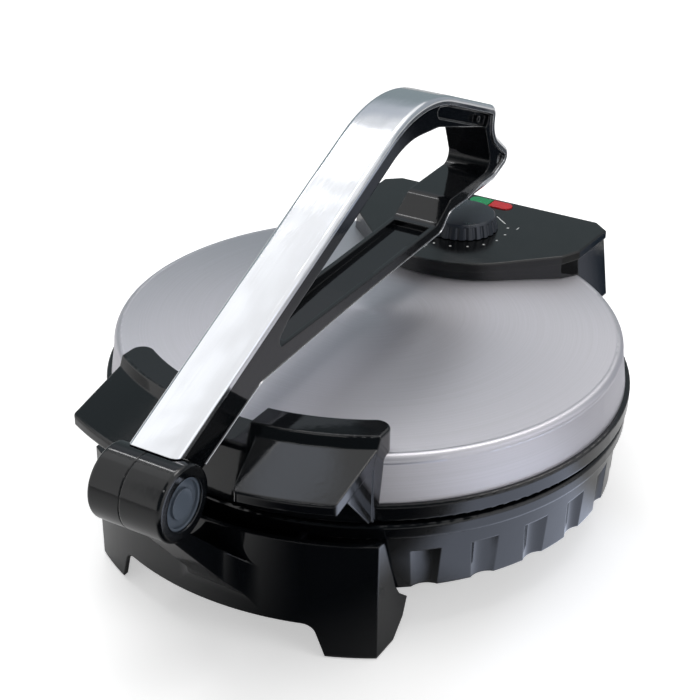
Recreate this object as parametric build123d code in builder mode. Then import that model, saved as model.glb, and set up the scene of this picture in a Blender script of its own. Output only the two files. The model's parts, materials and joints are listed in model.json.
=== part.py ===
from build123d import *
import math
import os

# Electric roti maker. Millimetres, +Z up, -Y is the front, and Z = 0 is the table.
# The origin is the middle of the whole appliance's footprint. Radii and reaches
# are counted from the vertical axis of the baking plates.

os.makedirs("parts", exist_ok=True)

# ---------------------------------------------------------------- sizes

# Baking plates and their rims
plate_radius = 127.0
plate_thickness = 7.0
plate_gap = 1.2            # between the closed plates
plate_edge = 1.5           # chamfer of a plate's working edge
rim_clearance = 1.5        # between a plate and the rim around it
rim_shelf = 11.0           # width of the shelf that carries a plate
rim_shelf_thickness = 3.0
seat_gap = 0.3             # between pieces that only rest near each other
running_gap = 0.05         # between a shaft and its bore

# Base housing
foot_height = 28.5         # table to the underside of the tub
tub_height = 32.5
tub_room = 16.4            # from a plate's edge to the tub's outside at its top
tub_lean = 1.6             # the tub is this much narrower at its bottom
tub_wall = 4.5
flange_overhang = 3.3
flange_height = 8.8
flange_fillet = 2.0
flute_count = 28
flute_radius = 11.5
flute_depth = 2.3
flute_height = 22.8
flute_start = 3.4          # degrees, from +X to the first flute
boss_radius = 4.6
boss_inset = 10.0          # from the tub's outside to the screw bosses' centres
stand_boss_angle = 17.0    # degrees, each side of the front and the back
cover_boss_angles = (35, 145, 215, 325)
cover_inset = 1.0
cover_thickness = 2.5
vent_count = 12
vent_length = 26.0
vent_width = 4.0
vent_inset = 53.8

# Lid
seam_gap = 3.2             # between the two black rims
ring_overhang = 1.1        # beyond the base flange
ring_height = 9.2
ring_lip = 4.2
ring_step = 2.8            # from the ring's edge to the lid cover
skirt_lean = 2.9           # the cover is this much narrower at its shoulder
skirt_height = 20.2
shoulder_width = 4.4
shoulder_height = 4.5
dome_rise = 6.7
steel = 1.0                # sheet thickness of the lid cover
access_radius = 21.0       # hole in the dome below the thermostat

# Heating elements and heat shields
element_inset = 43.0       # from a plate's edge
element_radius = 3.3
element_sink = 2.4         # how deep an element lies in its plate
element_arc = 325.0
element_leg = 9.0
element_leg_step = 0.2     # the legs are this much thinner than the tube
shield_depth = 10.8
shield_inset = 19.0        # from a plate's edge to the pan's wall
shield_lip_inset = 2.0
shield_sheet = 0.8
plate_screw_count = 6
plate_screw_inset = 6.0
screw_radius = 1.6
screw_head_radius = 3.1
screw_head_height = 2.0

# Pivot of the press lever
pivot_standoff = 39.7      # from the apron's face to the pivot axis
pivot_rise = 1.1           # above the dome's edge
barrel_radius = 19.2
barrel_half_length = 20.9
barrel_split = -2.2        # where the two halves of the barrel meet
split_gap = 0.4
pin_radius = 4.0
bush_wall = 2.4
cap_radius = 13.2
cap_thickness = 3.4
cap_sink = 1.0
cap_groove_radius = 7.6
cap_groove_width = 4.2
cap_groove_depth = 1.6

# Front apron
apron_standoff = 16.3      # in front of the base flange
apron_half_width = 86.5
apron_wall = 3.0
apron_drop = 0.8           # from the top of the base flange
apron_clear = 1.0          # the walls stop this far above the table, on their pads
arch_height = 20.0
arch_bottom_half = 64.0
arch_top_half = 57.5
arch_corner = 7.0
stand_shelf = 3.0
stand_shelf_reach = 26.0
neck_thickness = 15.0
neck_setback = 2.5         # of the neck's flank behind the barrel's end
neck_blend = 16.0
barrel_edge = 2.0
neck_drop = 9.0            # from the tub's top to where the neck's upper face meets the apron
rib_offset = 46.0
rib_thickness = 3.0

# Rear stand and hinge
stand_standoff = 11.3      # behind the base flange
stand_half_width = 74.0
stand_drop = 5.0           # from the tub's top
hinge_setback = 4.0        # from the stand's face to the hinge axis
hinge_rise = 0.2           # above the base flange
hinge_knuckle_radius = 7.0
hinge_pin_radius = 3.0
hinge_inner = 40.0         # inner face of the inner ear
ear_thickness = 6.0
ear_foot_length = 8.5
arm_width = 16.2
arm_gap = 0.4
arm_back = 5.0             # behind the hinge axis
gland_radius = 6.5
gland_length = 7.0
gland_rise = 5.5           # above the tub's underside
gland_bore = 3.4

# Foot pads
pad_length = 14.0
pad_width = 12.0
pad_height = 6.0
pad_setback = 4.2          # from the foot's curved wall, along the side return

# Front bracket of the lid
bracket_half_width = 77.5
hood_cover = 9.7           # how far the hood reaches over the dome
hood_depth = 16.5
hood_height = 13.2         # above the dome's edge
hood_corner = 7.0          # in plan, at the hood's inner corners
hood_edge = 1.4
hood_wall = 3.0
notch_clear = 2.0          # the hood is lower under the lever, and this much wider
notch_height = 3.0         # above the dome's edge
tab_root_step = 2.5        # outside the hood
tab_root_height = 7.5      # above the dome's edge
tab_length = 30.6          # outside the bracket's skirt
tab_drop = 9.9
tab_thickness = 6.5
tab_outer_half = 77.4
tab_gap_half = 17.0        # half of the slot for the lever, at the hood's inner edge
tab_gap_flare = 13.5       # how much further the slot opens to the tabs' outer edge
tab_corner = 3.0
tab_edge = 1.6
bracket_wall = 5.4         # outside the lid cover
bracket_skirt_rise = 1.6   # above the seam of the rims
gusset_thickness = 3.0
gusset_reach = 24.0
bracket_screw_angle = 22.0

# Control housing on the rear of the lid
panel_rise = 15.6          # above the dome's edge
panel_thickness = 5.2
panel_nose_reach = 59.0
panel_nose_radius = 60.0
panel_shoulder_half = 71.0
panel_side_half = 76.6
panel_side_start = 118.0
panel_corner_half = 78.3
panel_corner_cut = 8.0
panel_back_half = 69.0
panel_overhang = 4.7       # behind the rear stand
panel_edge = 0.8
housing_inset = 1.0
housing_wall = 2.6
housing_deck = 3.0
housing_skirt = 2.7        # below the lid cover's edge
housing_draft = 6.5        # degrees, the walls spread towards the bottom
lens_setback = 8.5         # from the panel's back edge
lens_length = 29.0
lens_width = 9.6
lens_proud = 0.9
lens_depth = 4.0
lens_fit = 0.25
lamp_radius = 4.1
lamp_length = 16.0

# Knob and thermostat
knob_reach = 112.5
knob_radius = 22.6
knob_top_radius = 20.4
knob_height = 9.0
knob_crown = 1.4
knob_lift = 0.4
knob_groove_count = 26
knob_groove_radius = 1.5
knob_groove_depth = 0.9
knob_band = 1.3            # plain band above the grooves
knob_wall = 2.2
shaft_radius = 3.0
hub_radius = 6.0
thermostat_radius = 14.0
thermostat_height = 15.0
collar_radius = 5.0

# Press lever
lever_slope = 25.6         # degrees, straight part of the crown
lever_fall = 21.5          # degrees, crown beyond the crest
lever_crest_reach = 29.4   # where the two crown lines would cross, behind the plate axis
lever_rise = 128.8         # from the pivot to where the crown lines would cross
lever_nose_reach = 124.0   # where the crown turns down to the nose
lever_crest_radius = 92.0
lever_root_half = 14.0
lever_top_half = 15.0
lever_widen_reach = -40.0  # the lever is at full width from here on
strip_thickness = 1.2
strip_side = 1.0
strip_lip = 5.0
strip_fit = 0.05
limb_depth = 14.5          # from crown to the hand hole, at right angles
channel_wall = 2.8
recess_front = 44.0        # reach at which the side recess starts
recess_back = 9.0          # in front of where the crown turns down
recess_top = 6.4           # below the crown
recess_bottom = 14.6
recess_corner = 2.6
recess_depth = 3.0
recess_boss = 2.0
strip_round = 3.0          # along the strip's outer edges
strip_root_gap = 27.0      # from the pivot axis to the strip's end under the lever
lever_screw_radius = 2.9

# ---------------------------------------------------------------- heights and planes

tub_top_radius = plate_radius + tub_room
tub_bottom_radius = tub_top_radius - tub_lean
flange_radius = tub_top_radius + flange_overhang
boss_ring_radius = tub_bottom_radius - boss_inset
vent_ring_radius = tub_bottom_radius - vent_inset
ring_radius = flange_radius + ring_overhang
skirt_bottom_radius = ring_radius - ring_step
skirt_top_radius = skirt_bottom_radius - skirt_lean
element_ring_radius = plate_radius - element_inset
shield_radius = plate_radius - shield_inset
shield_lip_radius = plate_radius - shield_lip_inset
plate_screw_ring = plate_radius - plate_screw_inset
apron_radius = flange_radius + apron_standoff
stand_radius = flange_radius + stand_standoff
pivot_reach = apron_radius + pivot_standoff        # plate axis to pivot axis
hinge_reach = stand_radius - hinge_setback
panel_back_reach = stand_radius + panel_overhang
panel_corner_reach = panel_back_reach - panel_corner_cut
lens_reach = panel_back_reach - lens_setback

flange_bottom = foot_height + tub_height
flange_top = flange_bottom + flange_height
ring_bottom = flange_top + seam_gap
skirt_bottom = ring_bottom + ring_height
shoulder_bottom = skirt_bottom + skirt_height
dome_edge = shoulder_bottom + shoulder_height
dome_top = dome_edge + dome_rise
dome_edge_radius = skirt_top_radius - shoulder_width
hood_inner_radius = dome_edge_radius - hood_cover
hood_outer_radius = hood_inner_radius + hood_depth
tab_root_radius = hood_outer_radius + tab_root_step
bracket_skirt_radius = skirt_bottom_radius + bracket_wall
bracket_skirt_bottom = ring_bottom + bracket_skirt_rise
tab_reach = bracket_skirt_radius + tab_length
apron_top = flange_top - apron_drop
neck_foot = flange_bottom - neck_drop
stand_top = flange_bottom - stand_drop
hinge_height = flange_top + hinge_rise
gland_height = foot_height + gland_rise
pivot_height = dome_edge + pivot_rise
lever_crest_height = pivot_height + lever_rise
panel_top = dome_edge + panel_rise
housing_bottom = skirt_bottom - housing_skirt
notch_half = lever_top_half + notch_clear
rim_inner_radius = plate_radius + rim_clearance
shelf_inner_radius = rim_inner_radius - rim_shelf - rim_clearance
lower_plate_bottom = flange_bottom + rim_shelf_thickness
lower_plate_top = lower_plate_bottom + plate_thickness
upper_plate_bottom = lower_plate_top + plate_gap
upper_plate_top = upper_plate_bottom + plate_thickness
cover_bottom = foot_height + cover_inset
cover_top = cover_bottom + cover_thickness
panel_bottom = panel_top - panel_thickness
deck_bottom = panel_bottom - housing_deck
housing_spread = (panel_bottom - housing_bottom) * math.tan(math.radians(housing_draft))

front_extent = pivot_reach + barrel_radius
back_extent = panel_back_reach - housing_inset + housing_spread
axis_y = (front_extent - back_extent) / 2


def level(height):
    """Horizontal plane at a height, with its origin on the plate axis."""
    return Plane(origin=(0, axis_y, height))


def side(offset):
    """Upright plane square to X: its own X runs to the back and its own Y runs up."""
    return Plane(origin=(offset, axis_y, 0), x_dir=(0, 1, 0), z_dir=(1, 0, 0))


radial = Plane(origin=(0, axis_y, 0), x_dir=(1, 0, 0), z_dir=(0, -1, 0))
plate_axis = Axis((0, axis_y, 0), (0, 0, 1))


def save(builder, name):
    builder.part.label = name
    export_step(builder.part, f"parts/{name}.step")


def dome_height(radius):
    """Height of the lid cover's outside at a radius on the dome."""
    return dome_top - dome_rise * (radius / dome_edge_radius) ** 2


def lid_outline(grow):
    """Filled profile of the lid cover, grown outwards."""
    with BuildSketch(Plane.XY) as profile:
        with BuildLine():
            skirt = Line((skirt_bottom_radius + grow, skirt_bottom), (skirt_top_radius + grow, shoulder_bottom))
            shoulder = ThreePointArc(
                skirt @ 1,
                (skirt_top_radius - shoulder_width * 0.22 + grow * 0.8,
                 dome_edge - shoulder_height * 0.22 + grow * 0.6),
                (dome_edge_radius + min(grow, 0) * 0.3, dome_edge + grow),
            )
            dome = ThreePointArc(
                shoulder @ 1,
                (dome_edge_radius / 2, dome_height(dome_edge_radius / 2) + grow),
                (0, dome_top + grow),
            )
            Polyline(dome @ 1, (0, skirt_bottom), skirt @ 0)
        make_face()
    return profile.sketch


def lid_space():
    """Room that the lid cover, its ring and a seat gap round them take up."""
    with BuildPart() as space:
        with BuildSketch(radial):
            add(lid_outline(seat_gap))
            with Locations((0, skirt_bottom - ring_height)):
                Rectangle(ring_radius + seat_gap, ring_height + seat_gap, align=(Align.MIN, Align.MIN))
        revolve(axis=plate_axis)
    return space.part


# ---------------------------------------------------------------- base housing

with BuildPart() as base_housing:
    with BuildSketch(radial):
        with BuildLine():
            Polyline(
                (tub_bottom_radius, foot_height),
                (tub_top_radius, flange_bottom),
                (flange_radius, flange_bottom),
                (flange_radius, flange_top),
                (rim_inner_radius, flange_top),
                (rim_inner_radius, lower_plate_bottom),
                (shelf_inner_radius, lower_plate_bottom),
                (shelf_inner_radius, flange_bottom),
                (tub_top_radius - tub_wall, flange_bottom),
                (tub_bottom_radius - tub_wall, foot_height),
                close=True,
            )
        make_face()
        corners = vertices().sort_by(Axis.X)
        fillet(corners[-2:], flange_fillet)
    revolve(axis=plate_axis)
    with BuildSketch(level(foot_height)):
        with PolarLocations(tub_bottom_radius + flute_radius - flute_depth, flute_count, flute_start):
            Circle(flute_radius)
    extrude(amount=flute_height, mode=Mode.SUBTRACT)
    with BuildSketch(level(foot_height)):
        for turn in (-90, 90):
            for lean in (-stand_boss_angle, stand_boss_angle):
                with PolarLocations(boss_ring_radius, 1, turn + lean):
                    Circle(boss_radius)
    extrude(until=Until.NEXT)
    with BuildSketch(level(cover_top)):
        for angle in cover_boss_angles:
            with PolarLocations(boss_ring_radius, 1, angle):
                Circle(boss_radius)
    extrude(until=Until.NEXT)
    with BuildSketch(level(foot_height)):
        for turn in (-90, 90):
            for lean in (-stand_boss_angle, stand_boss_angle):
                with PolarLocations(boss_ring_radius, 1, turn + lean):
                    Circle(screw_radius)
        for angle in cover_boss_angles:
            with PolarLocations(boss_ring_radius, 1, angle):
                Circle(screw_radius)
    extrude(amount=tub_height / 2, mode=Mode.SUBTRACT)
    with BuildSketch(level(flange_bottom)):
        with PolarLocations(plate_screw_ring, plate_screw_count, 30):
            Circle(screw_radius)
    extrude(amount=rim_shelf_thickness, mode=Mode.SUBTRACT)
save(base_housing, "base_housing")

# ---------------------------------------------------------------- bottom cover

with BuildPart() as bottom_cover:
    with BuildSketch(level(cover_bottom)):
        Circle(tub_bottom_radius - tub_wall - seat_gap)
        for turn in (-90, 90):
            for lean in (-stand_boss_angle, stand_boss_angle):
                with PolarLocations(boss_ring_radius, 1, turn + lean):
                    Circle(boss_radius + seat_gap, mode=Mode.SUBTRACT)
        for angle in cover_boss_angles:
            with PolarLocations(boss_ring_radius, 1, angle):
                Circle(screw_radius, mode=Mode.SUBTRACT)
        with PolarLocations(vent_ring_radius, vent_count):
            SlotOverall(vent_length, vent_width, mode=Mode.SUBTRACT)
    extrude(amount=cover_thickness)
save(bottom_cover, "bottom_cover")

with BuildPart() as cover_screws:
    with BuildSketch(level(cover_bottom - screw_head_height)):
        for angle in cover_boss_angles:
            with PolarLocations(boss_ring_radius, 1, angle):
                Circle(screw_head_radius)
    extrude(amount=screw_head_height)
    with BuildSketch(level(cover_bottom)):
        for angle in cover_boss_angles:
            with PolarLocations(boss_ring_radius, 1, angle):
                Circle(screw_radius)
    extrude(amount=cover_thickness + screw_head_height * 4)
save(cover_screws, "cover_screws")


# ---------------------------------------------------------------- plates, elements, shields


def plate(bottom, work_side, name):
    """Round cast plate. work_side is +1 if it bakes on its top and -1 on its underside."""
    back = bottom if work_side > 0 else bottom + plate_thickness
    with BuildPart() as disc:
        with BuildSketch(level(bottom)):
            Circle(plate_radius)
        extrude(amount=plate_thickness)
        rims = disc.edges().filter_by(GeomType.CIRCLE).sort_by(Axis.Z)
        chamfer(rims[-1] if work_side > 0 else rims[0], plate_edge)
        with BuildSketch(radial):
            with Locations((element_ring_radius, back + work_side * (element_sink - element_radius))):
                Circle(element_radius + seat_gap / 2)
        revolve(axis=plate_axis, mode=Mode.SUBTRACT)
        with BuildSketch(level(back)):
            with PolarLocations(plate_screw_ring, plate_screw_count, 30):
                Circle(screw_radius)
        extrude(amount=work_side * plate_thickness / 2, mode=Mode.SUBTRACT)
    save(disc, name)


def element(back, work_side, name):
    """Tubular heating element, an open ring with a leg at each end, in its plate's groove."""
    height = back + work_side * (element_sink - element_radius)
    start = -90 + (360 - element_arc) / 2
    with BuildPart() as tube:
        with BuildSketch(Plane(
            origin=(0, axis_y, 0),
            x_dir=(math.cos(math.radians(start)), math.sin(math.radians(start)), 0),
            z_dir=(math.sin(math.radians(start)), -math.cos(math.radians(start)), 0),
        )):
            with Locations((element_ring_radius, height)):
                Circle(element_radius)
        revolve(axis=plate_axis, revolution_arc=element_arc)
        with BuildSketch(level(height)):
            with PolarLocations(element_ring_radius, 2, start, element_arc, endpoint=True):
                Circle(element_radius - element_leg_step)
        extrude(amount=-work_side * element_leg)
    save(tube, name)


def shield(lip_height, away, name):
    """Pressed sheet pan that keeps the element's heat off the housing."""
    floor = lip_height + away * shield_depth
    with BuildPart() as pan:
        with BuildSketch(radial):
            with BuildLine():
                Polyline(
                    (0, floor),
                    (shield_radius, floor),
                    (shield_radius, lip_height + away * shield_sheet),
                    (shield_lip_radius, lip_height + away * shield_sheet),
                    (shield_lip_radius, lip_height),
                    (shield_radius - shield_sheet, lip_height),
                    (shield_radius - shield_sheet, floor - away * shield_sheet),
                    (0, floor - away * shield_sheet),
                    close=True,
                )
            make_face()
        revolve(axis=plate_axis)
        with BuildSketch(level(lip_height)):
            with PolarLocations(plate_screw_ring, plate_screw_count, 30):
                Circle(screw_radius)
        extrude(amount=away * shield_sheet, mode=Mode.SUBTRACT)
    save(pan, name)


def plate_screws(head_face, into, name):
    """Ring of screws that holds a shield and a plate to their rim."""
    with BuildPart() as ring:
        with BuildSketch(level(head_face)):
            with PolarLocations(plate_screw_ring, plate_screw_count, 30):
                Circle(screw_head_radius)
        extrude(amount=-into * screw_head_height)
        with BuildSketch(level(head_face)):
            with PolarLocations(plate_screw_ring, plate_screw_count, 30):
                Circle(screw_radius)
        extrude(amount=into * (shield_sheet + rim_shelf_thickness + plate_thickness / 2))
    save(ring, name)


plate(lower_plate_bottom, 1, "lower_plate")
plate(upper_plate_bottom, -1, "upper_plate")
element(lower_plate_bottom, 1, "lower_element")
element(upper_plate_top, -1, "upper_element")
shield(flange_bottom, -1, "lower_shield")
shield(upper_plate_top + rim_shelf_thickness, 1, "upper_shield")
plate_screws(flange_bottom - shield_sheet, 1, "lower_plate_screws")
plate_screws(upper_plate_top + rim_shelf_thickness + shield_sheet, -1, "upper_plate_screws")

# ---------------------------------------------------------------- front apron


def stand_wall(radius, half_width, top, facing):
    """Curved wall of a stand with its arch and its shelf. facing: -1 at the front, 1 at the back."""
    arch_side = half_width - apron_half_width
    upright = Plane(origin=(0, axis_y, 0), x_dir=(-facing, 0, 0), z_dir=(0, facing, 0))
    with BuildPart() as wall:
        with BuildSketch(level(apron_clear)):
            Circle(radius)
            Circle(radius - apron_wall, mode=Mode.SUBTRACT)
            with Locations((0, facing * radius)):
                Rectangle(2 * half_width, radius, mode=Mode.INTERSECT)
        extrude(amount=top - apron_clear)
        with BuildSketch(upright):
            with BuildLine():
                FilletPolyline(
                    (-arch_bottom_half - arch_side, -1),
                    (-arch_top_half - arch_side, arch_height),
                    (arch_top_half + arch_side, arch_height),
                    (arch_bottom_half + arch_side, -1),
                    radius=arch_corner,
                )
                Line((arch_bottom_half + arch_side, -1), (-arch_bottom_half - arch_side, -1))
            make_face()
        extrude(amount=radius + apron_wall, mode=Mode.SUBTRACT)
        with BuildSketch(level(foot_height - stand_shelf)):
            Circle(radius - apron_wall / 2)
            Circle(boss_ring_radius - boss_radius - stand_shelf, mode=Mode.SUBTRACT)
            with Locations((0, facing * radius)):
                Rectangle(2 * rib_offset + rib_thickness, 2 * radius, mode=Mode.INTERSECT)
            for lean in (-stand_boss_angle, stand_boss_angle):
                with PolarLocations(boss_ring_radius, 1, facing * 90 + lean):
                    Circle(screw_radius, mode=Mode.SUBTRACT)
        extrude(amount=stand_shelf)
    return wall.part


def stand_screws(name, facing):
    with BuildPart() as screws:
        head = foot_height - stand_shelf - screw_head_height
        for bottom, top, radius in (
            (head, head + screw_head_height, screw_head_radius),
            (head + screw_head_height, foot_height + tub_height / 3, screw_radius),
        ):
            with BuildSketch(level(bottom)):
                for lean in (-stand_boss_angle, stand_boss_angle):
                    with PolarLocations(boss_ring_radius, 1, facing * 90 + lean):
                        Circle(radius)
            extrude(amount=top - bottom)
    save(screws, name)


edge_reach = math.sqrt(apron_radius**2 - apron_half_width**2)   # front edge of a side return


def meets_wall(edge):
    """True for the edges where the neck's flanks and underside run into the apron's outer face."""
    centre = edge.center()
    reach = math.hypot(centre.X, centre.Y - axis_y)
    on_face = abs(reach - apron_radius) < 1.5
    return on_face and abs(centre.X) < barrel_half_length and foot_height < centre.Z < neck_foot - 2


def outer_end(edge):
    """Sorting key that puts the barrel's outermost large circle last."""
    centre = edge.arc_center
    on_pivot = math.hypot(centre.Y - axis_y + pivot_reach, centre.Z - pivot_height) < 0.1
    return abs(centre.X) * edge.radius if on_pivot else 0


with BuildPart() as front_apron:
    add(stand_wall(apron_radius, apron_half_width, apron_top, -1))
    for hand in (-1, 1):
        with BuildSketch(side(hand * (apron_half_width - apron_wall / 2))):
            with BuildLine():
                Polyline(
                    (-edge_reach, apron_clear),
                    (-edge_reach + 17, apron_clear),
                    (-edge_reach + 26.5, 10),
                    (-edge_reach + 30.5, 20),
                    (-edge_reach + 22, 27.5),
                    (-edge_reach + 18, 34),
                    (-edge_reach + 5.4, apron_top),
                    (-edge_reach, apron_top),
                    close=True,
                )
            make_face()
            fillet(vertices().sort_by(Axis.Y)[-1], 4)
        extrude(amount=apron_wall / 2, both=True)
    for hand in (-1, 1):
        with BuildSketch(side(hand * rib_offset)):
            rib_back = math.sqrt(flange_radius**2 - (rib_offset - rib_thickness)**2) + seat_gap
            rib_front = math.sqrt((apron_radius - apron_wall / 2)**2 - rib_offset**2)
            with BuildLine():
                Polyline(
                    (-rib_front, foot_height - stand_shelf),
                    (-rib_back, foot_height - stand_shelf),
                    (-rib_back, apron_top - 4),
                    (-rib_front, apron_top - 4),
                    close=True,
                )
            make_face()
        extrude(amount=rib_thickness / 2, both=True)
    # neck, blended into the wall, and the fixed half of the barrel on it
    with BuildSketch(side(barrel_split + split_gap)):
        drop = neck_thickness * math.sqrt(2)
        with BuildLine():
            Polyline(
                (-pivot_reach + 8, pivot_height - 8),
                (-pivot_reach + 5, pivot_height - barrel_radius),
                (-apron_radius + apron_wall / 2, neck_foot),
                (-apron_radius + apron_wall / 2, neck_foot - drop),
                (-pivot_reach - 6.5, pivot_height - barrel_radius + 1),
                (-pivot_reach - 4, pivot_height - 6),
                close=True,
            )
        make_face()
    extrude(amount=barrel_half_length - barrel_split - split_gap - neck_setback)
    fillet(front_apron.edges().filter_by(meets_wall), neck_blend)
    with BuildSketch(side(barrel_split + split_gap)):
        with Locations((-pivot_reach, pivot_height)):
            Circle(barrel_radius)
    extrude(amount=barrel_half_length - barrel_split - split_gap)
    fillet(front_apron.edges().filter_by(GeomType.CIRCLE).sort_by(outer_end)[-1], barrel_edge)
    with BuildSketch(side(barrel_half_length - cap_thickness)):
        with Locations((-pivot_reach, pivot_height)):
            Circle(cap_radius)
    extrude(amount=cap_thickness, mode=Mode.SUBTRACT)
    with BuildSketch(side(barrel_split)):
        with Locations((-pivot_reach, pivot_height)):
            Circle(pin_radius)
    extrude(amount=2 * barrel_half_length, mode=Mode.SUBTRACT)
save(front_apron, "front_apron")
stand_screws("apron_screws", -1)

with BuildPart() as pivot_end_cap:
    with BuildSketch(side(barrel_half_length - cap_thickness)):
        with Locations((-pivot_reach, pivot_height)):
            Circle(cap_radius - running_gap)
    extrude(amount=cap_thickness - cap_sink)
    with BuildSketch(side(barrel_half_length - cap_sink)):
        with Locations((-pivot_reach, pivot_height)):
            Circle(cap_groove_radius + cap_groove_width)
            Circle(cap_groove_radius, mode=Mode.SUBTRACT)
    extrude(amount=-cap_groove_depth, mode=Mode.SUBTRACT)
save(pivot_end_cap, "pivot_end_cap")

pin_left = -barrel_half_length + cap_thickness
with BuildPart() as pivot_pin:
    with BuildSketch(side(pin_left)):
        with Locations((-pivot_reach, pivot_height)):
            Circle(pin_radius)
    extrude(amount=barrel_half_length - cap_thickness - pin_left)
save(pivot_pin, "pivot_pin")

# ---------------------------------------------------------------- rear stand and hinge

hinge_axis = (hinge_reach, hinge_height)
arm_inner = hinge_inner + ear_thickness + arm_gap
ear_outer = arm_inner + arm_width + arm_gap
stand_edge = math.sqrt(stand_radius**2 - stand_half_width**2)

with BuildPart() as rear_stand:
    add(stand_wall(stand_radius, stand_half_width, stand_top, 1))
    for hand in (-1, 1):
        with BuildSketch(side(hand * (stand_half_width - apron_wall / 2))):
            with BuildLine():
                Polyline(
                    (stand_edge, apron_clear),
                    (stand_edge - 15, apron_clear),
                    (stand_edge - 24, 10),
                    (stand_edge - 26, 20),
                    (stand_edge - 15, 27.5),
                    (stand_edge - 11, 34),
                    (stand_edge - 4, stand_top),
                    (stand_edge, stand_top),
                    close=True,
                )
            make_face()
            fillet(vertices().sort_by(Axis.Y)[0], 4)
        extrude(amount=apron_wall / 2, both=True)
    with BuildSketch(level(stand_top - stand_shelf)):
        Circle(stand_radius - apron_wall / 2)
        Circle(tub_top_radius + seat_gap, mode=Mode.SUBTRACT)
        with Locations((0, stand_radius)):
            Rectangle(2 * stand_half_width - apron_wall, 2 * stand_radius, mode=Mode.INTERSECT)
    extrude(amount=stand_shelf)
    for hand in (-1, 1):
        for inner in (hinge_inner, ear_outer):
            ear_foot = math.sqrt((stand_radius - 1)**2 - (inner + ear_thickness)**2)
            with BuildSketch(side(hand * (inner + ear_thickness / 2))):
                with BuildLine():
                    Polyline(
                        (hinge_reach - hinge_knuckle_radius, hinge_height),
                        (ear_foot - ear_foot_length, stand_top - stand_shelf),
                        (ear_foot, stand_top - stand_shelf),
                        (hinge_reach + hinge_knuckle_radius, hinge_height),
                        close=True,
                    )
                make_face()
                with Locations(hinge_axis):
                    Circle(hinge_knuckle_radius)
                    Circle(hinge_pin_radius, mode=Mode.SUBTRACT)
            extrude(amount=ear_thickness / 2, both=True)
    with BuildSketch(Plane(origin=(0, axis_y + stand_radius - apron_wall, gland_height),
                           x_dir=(1, 0, 0), z_dir=(0, -1, 0))):
        Circle(gland_radius - 2)
    extrude(amount=apron_wall * 2, both=True, mode=Mode.SUBTRACT)
save(rear_stand, "rear_stand")
stand_screws("stand_screws", 1)

with BuildPart() as hinge_pins:
    for hand in (-1, 1):
        with BuildSketch(side(hand * hinge_inner)):
            with Locations(hinge_axis):
                Circle(hinge_pin_radius)
        extrude(amount=hand * (ear_outer + ear_thickness - hinge_inner))
save(hinge_pins, "hinge_pins")


def hinge_arm(hand, name):
    """Cast arm of the lid: a knuckle below and a pad under the control housing's deck."""
    with BuildPart() as arm:
        with BuildSketch(side(hand * (arm_inner + arm_width / 2))):
            with BuildLine():
                Polyline(
                    (hinge_reach - hinge_knuckle_radius, hinge_height),
                    (hinge_reach - hinge_knuckle_radius, panel_bottom - 24),
                    (hinge_reach - hinge_knuckle_radius - 3, deck_bottom),
                    (hinge_reach + arm_back, deck_bottom),
                    (hinge_reach + arm_back, hinge_height + 4),
                    close=True,
                )
            make_face()
            with Locations(hinge_axis):
                Circle(hinge_knuckle_radius)
                Circle(hinge_pin_radius + running_gap, mode=Mode.SUBTRACT)
        extrude(amount=arm_width / 2, both=True)
        with Locations(Location((hand * (arm_inner + arm_width / 2), axis_y + hinge_reach, deck_bottom))):
            Hole(screw_radius, depth=14)
    save(arm, name)


hinge_arm(-1, "left_hinge_arm")
hinge_arm(1, "right_hinge_arm")

with BuildPart() as hinge_arm_screws:
    for hand in (-1, 1):
        place = Location((hand * (arm_inner + arm_width / 2), axis_y + hinge_reach, panel_bottom))
        with Locations(place):
            Cylinder(screw_head_radius, screw_head_height, align=(Align.CENTER, Align.CENTER, Align.MAX))
            Cylinder(screw_radius, housing_deck + 10, align=(Align.CENTER, Align.CENTER, Align.MAX))
save(hinge_arm_screws, "hinge_arm_screws")

with BuildPart() as cord_gland:
    with BuildSketch(Plane(origin=(0, axis_y + stand_radius - apron_wall, gland_height),
                           x_dir=(-1, 0, 0), z_dir=(0, 1, 0))):
        Circle(gland_radius - 2 - running_gap)
    extrude(amount=apron_wall + 0.2)
    with BuildSketch(Plane(origin=(0, axis_y + stand_radius + 0.1, gland_height),
                           x_dir=(-1, 0, 0), z_dir=(0, 1, 0))):
        Circle(gland_radius)
    extrude(amount=gland_length, taper=9)
    with BuildSketch(Plane(origin=(0, axis_y + stand_radius - apron_wall, gland_height),
                           x_dir=(-1, 0, 0), z_dir=(0, 1, 0))):
        Circle(gland_bore)
    extrude(amount=gland_length + apron_wall + 1, mode=Mode.SUBTRACT)
save(cord_gland, "cord_gland")

# ---------------------------------------------------------------- foot pads


def foot_pads(half_width, edge, facing, name):
    """Rubber pads in the corner of each foot, between the curved wall and the side return."""
    with BuildPart() as pads:
        with BuildSketch(level(0)):
            centre = (half_width - apron_wall - seat_gap - pad_width / 2,
                      facing * (edge - pad_setback - pad_length / 2))
            with Locations(centre, (-centre[0], centre[1])):
                RectangleRounded(pad_width, pad_length, 2)
        extrude(amount=pad_height)
    save(pads, name)


foot_pads(apron_half_width, edge_reach, -1, "front_foot_pads")
foot_pads(stand_half_width, stand_edge, 1, "rear_foot_pads")

# ---------------------------------------------------------------- small inner parts of the base

with BuildPart() as terminal_block:
    with BuildSketch(level(cover_top)):
        with Locations((0, 104)):
            Rectangle(34, 18)
    extrude(amount=15)
    with BuildSketch(level(cover_top + 15)):
        with Locations((0, 104)):
            with GridLocations(11, 0, 3, 1):
                Circle(2.2)
    extrude(amount=-9, mode=Mode.SUBTRACT)
save(terminal_block, "terminal_block")

with BuildPart() as thermal_fuse:
    with BuildSketch(side(-9)):
        with Locations((52, lower_plate_bottom - 2.6 - seat_gap)):
            Circle(2.6)
    extrude(amount=18)
save(thermal_fuse, "thermal_fuse")

# ---------------------------------------------------------------- lid

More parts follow.
